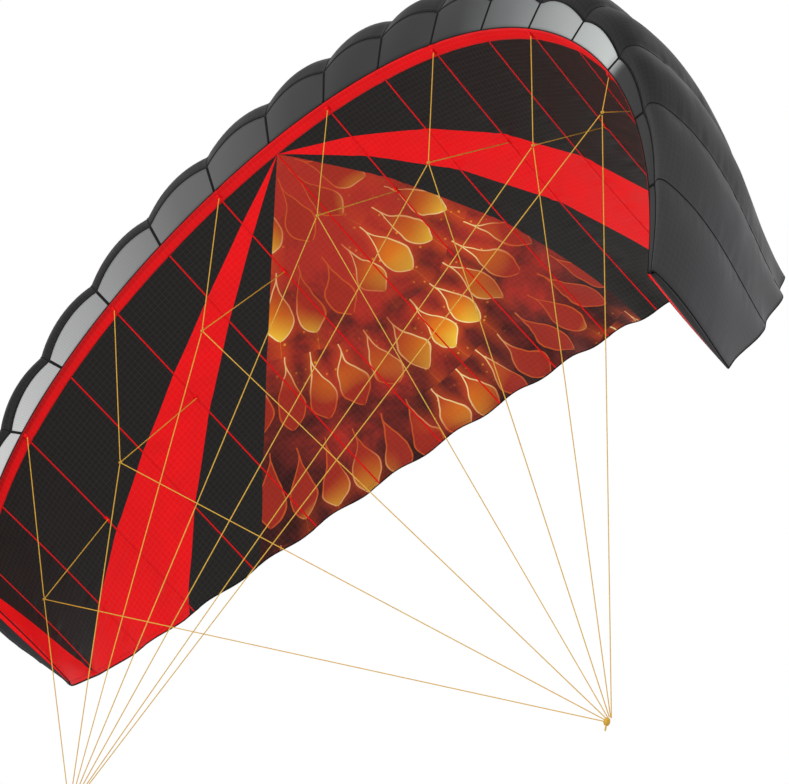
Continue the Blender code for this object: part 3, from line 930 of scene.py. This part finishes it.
# %% Sew the rows
EDGE_ROW, FRONT_ROW, TIP_ROW = 0.0018, BAND - 0.0016, BAND - 0.0012    # in from the edge
BESIDE = 0.00055                               # from a seam to the row on either side of it
ON_BAND, ON_TAPE = 0.0008, 0.0004              # how far a row stands off the cloth
v_fine = np.linspace(-0.998, 0.998, 1000)
rows = [row_on_lower(v_fine, w / chord(v_fine), ON_BAND) for w in (EDGE_ROW, FRONT_ROW)]
s_tip = np.linspace(BAND / chord(1), 0.99, 120)
rows += [row_on_lower(sign * (1 - w / HALF_SPAN), s_tip, ON_BAND)
         for sign in (-1, 1) for w in (EDGE_ROW, TIP_ROW)]
sew("band_stitches", stitch_mesh("band_stitches", rows), red_thread, "red_cloth")
rows = [row_on_lower(rib / HALF + side * BESIDE / HALF_SPAN,
                     np.linspace(BAND / chord(rib / HALF), 0.99, 240), ON_TAPE)
        for rib in range(1 - HALF, HALF) for side in (-1, 1)]
sew("seam_stitches", stitch_mesh("seam_stitches", rows), red_thread, "red_cloth")
rows = [row_on_lower(v_fine, 1 - 0.005 / chord(v_fine), 0.0001)]
rows += [(upper_face(v_fine, t, 0.0002), upper_face(v_fine, t, 0.0012)) for t in (0.16, LAST - 0.2)]
hem_stitches = sew("hem_stitches", stitch_mesh("hem_stitches", rows), black_thread, "black_cloth")
print("hem stitches", len(hem_stitches.data.vertices) // 6)

# %% The ribs' own cloth
for number in range(1, CELLS + 2):
    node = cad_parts[f"rib_{number:02d}"]
    for material_slot in node.material_slots:
        material_slot.material = rib_ripstop
print("ribs dressed")


# %% [markdown]
# ## Bridle lines
#
# Each of the seven bridles is one line sewn to the skin at two places and knotted where
# its legs meet; from each knot a line runs to either tow knot. They are curves with a
# round bevel, which stay editable, and they lie where the solids' lines lie.

# %% The bridle's sizes
LINE, BRAID = 0.0012, 0.0010           # diameters of the solids' line and of the one laid here
KNOT, TOW_KNOT = 0.0046, 0.0085        # diameters of the solids' knots
COIL_WIDE, COIL_LONG = 0.0023, 0.0062  # a wound knot's radius to its line's middle, its length
COILED = 0.00085                       # radius of the line it is wound from
FAN = math.radians(21)                 # between neighbouring lines where they enter a tow knot
print("bridles on every second rib:", [row[0] for row in BRIDLE])


# %% [markdown]
# The lines are braided polyester, dyed orange-yellow. A braid this thin shows no strands
# from a step away, only a soft sheen, so its pattern is two close shades and a fine bump.

# %% Braided polyester line
braid = yarn("braided_polyester_line", 0.5, 0.3, 1400, ((0.35, "#B68A22"), (0.65, "#DDB042")),
             (0.0002, 0.6))


def lay_line(name, points, *nodes, radius=BRAID / 2, close=False):
    return sew(name, line_curve(name, points, radius, close), braid, "line", *nodes)


print("line material", braid.name)


# %% Paths: a bend, a small overhand knot, and a wound knot for each tow point
def rounded_corner(start, corner, end, reach=0.005, steps=8):
    """Start, a small round bend at the corner, end."""
    a, b = corner + unit(start - corner) * reach, corner + unit(end - corner) * reach
    t = np.linspace(0, 1, steps)[:, None]
    return np.vstack([start, (1 - t) ** 2 * a + 2 * t * (1 - t) * corner + t ** 2 * b, end])


def overhand(middle, size):
    """The closed path of an overhand knot, pulled tight."""
    t = np.linspace(0, 2 * math.pi, 36, endpoint=False)
    loop = np.stack([np.sin(t) + 2 * np.sin(2 * t), np.cos(t) - 2 * np.cos(2 * t),
                     -1.6 * np.sin(3 * t)], -1) / 3
    return middle + loop * (size - LINE) / 2 * 0.86


def wound(top, axis, turns=5):
    """Turns of line wound round a core, from top along axis, with a short cut tail."""
    axis = unit(axis)
    side = unit(np.cross(axis, (1.0, 0, 0)))
    t = np.linspace(0, 1, turns * 14)
    wide = COIL_WIDE * np.sin(math.pi * (0.16 + 0.7 * t)) ** 0.6
    angle = t * turns * 2 * math.pi
    coil = (top + axis * (t * COIL_LONG + 0.0006)[:, None]
            + side * (wide * np.cos(angle))[:, None]
            + np.cross(axis, side) * (wide * np.sin(angle))[:, None])
    tail = [top + axis * d for d in (0.0078, 0.0105, 0.0138)]
    return np.vstack([coil, tail])


print("points along a wound knot:", len(wound(MIDDLE, TO_PART[2])))

# %% Lay the bridles
GAP, STRIP = 0.0003, 0.0010     # between the solids, and the thickness of a band's solid
knots, bridle_length = [], []
for i, (rib, aft, drop, share) in enumerate(BRIDLE):
    v = rib / HALF
    skin = LINE / 2 + GAP
    first = lower_face(v, FIRST_LEG, STRIP + 2 * GAP + skin)
    second = lower_face(v, share, skin)
    foot = FEET[rib + HALF]
    knot = to_part(foot[0], front(v) + aft, foot[1] - drop)
    knots.append(knot)
    path = rounded_corner(first, knot, second)
    tied = lay_line(f"bridle_knot_{i + 1}", overhand(knot, KNOT), close=True)
    leg = lay_line(f"bridle_line_{i + 1}", path, f"bridle_{i + 1}")
    bridle_length.append(float(pace(path)[-1]))
print("bridles, metres of line:", [round(x, 3) for x in bridle_length])

# %% Tabs where the bridles are sewn on
TAB_WIDE, TAB_HALF = 0.0034, 0.0042      # width, and half the length
OVER_BAND = 0.0016                       # extra lift of the front ones, which lie on the band
strips = []
for v0, share0 in SEWN:
    w, k = np.meshgrid(side_steps * TAB_WIDE, np.linspace(-1, 1, 13))
    rise = (OVER_BAND if share0 == FIRST_LEG else 0.0) + 0.0002 + 0.0010 * (1 - k ** 2) ** 0.5
    strips.append((on_lower(v0 + w / HALF_SPAN, share0 + k * TAB_HALF / chord(v0), rise)[:, ::-1],
                   np.stack([w, k * TAB_HALF], -1)[:, ::-1]))
sew_strips("bridle_tabs", strips, red_tape, "red_cloth")

# %% Lay the lines to the tow knots
for side, (x, y, z) in TOW.items():
    pull = TO_PART @ np.array([0, 0, -1.0])
    tow = to_part(x, y, z)
    lay_line(f"tow_wound_knot_{side}", wound(tow - pull * TOW_KNOT * 0.42, pull),
             f"tow_knot_{side}", radius=COILED)
    for i, start in enumerate(knots):
        fan = FAN * (i - (len(knots) - 1) // 2)
        entry = TO_PART @ np.array([math.sin(fan), 0, math.cos(fan)])
        end = tow + entry * (TOW_KNOT / 2 + GAP + LINE / 3)
        start = start + unit(end - start) * (KNOT / 2 + GAP)
        run = np.linspace(start, end, 5)
        line = lay_line(f"tow_line_{i + 1}_{side}", run, f"line_{i + 1}_{side}")


# %% [markdown]
# ## Floor, sky and light
#
# The kite hangs over a plain pale floor, well below it. A white sky lights the cloth from
# all round, so each colour shows as dyed, and one large soft lamp from the upper left
# rounds the cells.

# %% Floor, sky and lamp
WIDE, BELOW = 6.0, -1.2    # half the floor's width, and its height
floor_mesh = bpy.data.meshes.new("floor")
corners = [(x * WIDE, y * WIDE, BELOW) for x, y in ((-1, -1), (1, -1), (1, 1), (-1, 1))]
floor_mesh.from_pydata(corners, [], [(0, 1, 2, 3)])
floor = bpy.data.objects.new("floor", floor_mesh)
scene.collection.objects.link(floor)
floor_paint, tree, shader = blank("pale_floor", 0.9, 0.1)
shader.inputs["Base Color"].default_value = dye("#EDEDEB")
floor_mesh.materials.append(floor_paint)
floor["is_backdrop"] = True

world = bpy.data.worlds.new("white_sky")
world.use_nodes = True
sky = world.node_tree.nodes["Background"]
sky.inputs["Color"].default_value, sky.inputs["Strength"].default_value = (1, 1, 1, 1), 1.0
scene.world = world
scene.view_settings.view_transform = "Standard"

lamp = bpy.data.lights.new("soft_lamp", "AREA")
lamp.energy, lamp.size = 40, 2.0       # watts, and metres across
lamp_object = bpy.data.objects.new("soft_lamp", lamp)
lamp_object.location = TARGET + right * -2.0 + up * 2.2 + back * 2.0
lamp_object.rotation_euler = (TARGET - lamp_object.location).to_track_quat("-Z", "Y").to_euler()
scene.collection.objects.link(lamp_object)
print("lit")

# %% The visual box
low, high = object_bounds()
print("visual box", [round(c, 3) for c in (*low, *high)])
